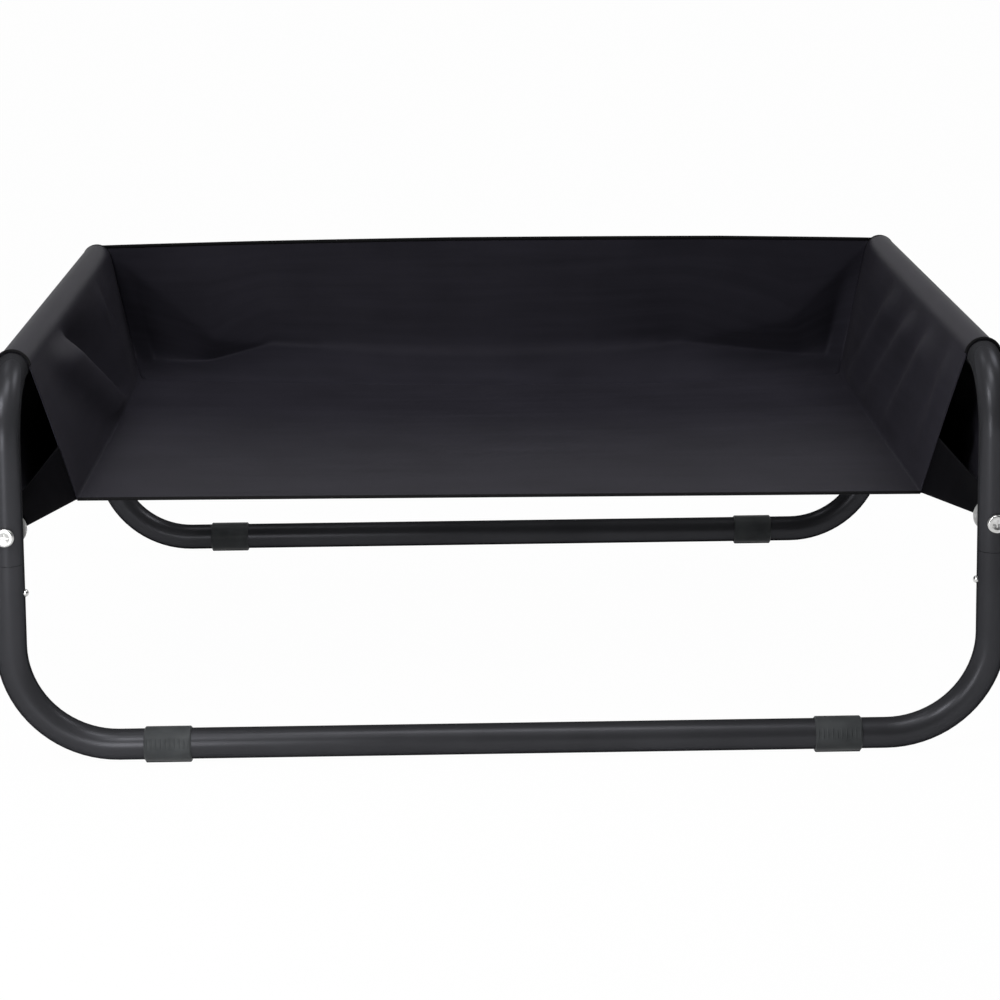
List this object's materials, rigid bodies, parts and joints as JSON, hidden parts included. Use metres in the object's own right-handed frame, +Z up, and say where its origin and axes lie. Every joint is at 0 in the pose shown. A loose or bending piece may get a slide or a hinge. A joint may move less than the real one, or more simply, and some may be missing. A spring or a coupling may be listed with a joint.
{
  "type": "dog bed with frame",
  "caption": "Raised dog bed: black cloth sling with folded side and back walls, open at the front, on a bent steel tube frame with plastic feet and spring-button joints.",
  "frame": {"origin": "middle of the bed's footprint, on the ground", "axes": "+X to the right seen from the open front, +Y from the open front to the back wall, +Z up"},
  "size_m": [0.8056, 0.632, 0.3278],
  "materials": {
    "coated_steel": "satin anthracite powder coat",
    "foot_plastic": "matte dark grey moulding",
    "zinc_steel": "bright zinc plate",
    "spring_steel": "rolled strip",
    "black_cloth": "coated plain-weave polyester, slightly satin",
    "black_tape": "folded edge tape"
  },
  "bodies": {
    "bed": {"front_base_tube": "coated_steel", "back_base_tube": "coated_steel", "left_side_tube": "coated_steel", "right_side_tube": "coated_steel", "front_left_foot": "foot_plastic", "front_left_snap_spring": "spring_steel", "front_left_bolt": "zinc_steel", "front_left_washer": "zinc_steel", "front_left_nut": "zinc_steel", "front_left_eyelet": "zinc_steel", "front_left_ear": "black_cloth", "front_right_foot": "foot_plastic", "front_right_snap_spring": "spring_steel", "front_right_bolt": "zinc_steel", "front_right_washer": "zinc_steel", "front_right_nut": "zinc_steel", "front_right_eyelet": "zinc_steel", "front_right_ear": "black_cloth", "back_left_foot": "foot_plastic", "back_left_snap_spring": "spring_steel", "back_left_bolt": "zinc_steel", "back_left_washer": "zinc_steel", "back_left_nut": "zinc_steel", "back_left_eyelet": "zinc_steel", "back_left_ear": "black_cloth", "back_right_foot": "foot_plastic", "back_right_snap_spring": "spring_steel", "back_right_bolt": "zinc_steel", "back_right_washer": "zinc_steel", "back_right_nut": "zinc_steel", "back_right_eyelet": "zinc_steel", "back_right_ear": "black_cloth", "floor_panel": "black_cloth", "back_wall": "black_cloth", "front_hem": "black_tape", "back_hem": "black_tape", "left_inner_wall": "black_cloth", "left_outer_wall": "black_cloth", "left_rail_sleeve": "black_cloth", "left_front_sleeve_binding": "black_tape", "left_back_sleeve_binding": "black_tape", "right_inner_wall": "black_cloth", "right_outer_wall": "black_cloth", "right_rail_sleeve": "black_cloth", "right_front_sleeve_binding": "black_tape", "right_back_sleeve_binding": "black_tape"},
    "front_left_button": {"front_left_snap_button": "zinc_steel"},
    "front_right_button": {"front_right_snap_button": "zinc_steel"},
    "back_left_button": {"back_left_snap_button": "zinc_steel"},
    "back_right_button": {"back_right_snap_button": "zinc_steel"}
  },
  "joints": [
    {"name": "front_left_button_press", "type": "slide", "parent": "bed", "child": "front_left_button", "axis": [-0.9997, 0, 0.0262], "range_m": [0, 0.0045], "stiffness_N_per_m": 1500, "springref_m": -0.001, "deforming": ["front_left_snap_spring"]},
    {"name": "front_right_button_press", "type": "slide", "parent": "bed", "child": "front_right_button", "axis": [0.9997, 0, 0.0262], "range_m": [0, 0.0045], "stiffness_N_per_m": 1500, "springref_m": -0.001, "deforming": ["front_right_snap_spring"]},
    {"name": "back_left_button_press", "type": "slide", "parent": "bed", "child": "back_left_button", "axis": [-0.9997, 0, 0.0262], "range_m": [0, 0.0045], "stiffness_N_per_m": 1500, "springref_m": -0.001, "deforming": ["back_left_snap_spring"]},
    {"name": "back_right_button_press", "type": "slide", "parent": "bed", "child": "back_right_button", "axis": [0.9997, 0, 0.0262], "range_m": [0, 0.0045], "stiffness_N_per_m": 1500, "springref_m": -0.001, "deforming": ["back_right_snap_spring"]}
  ]
}
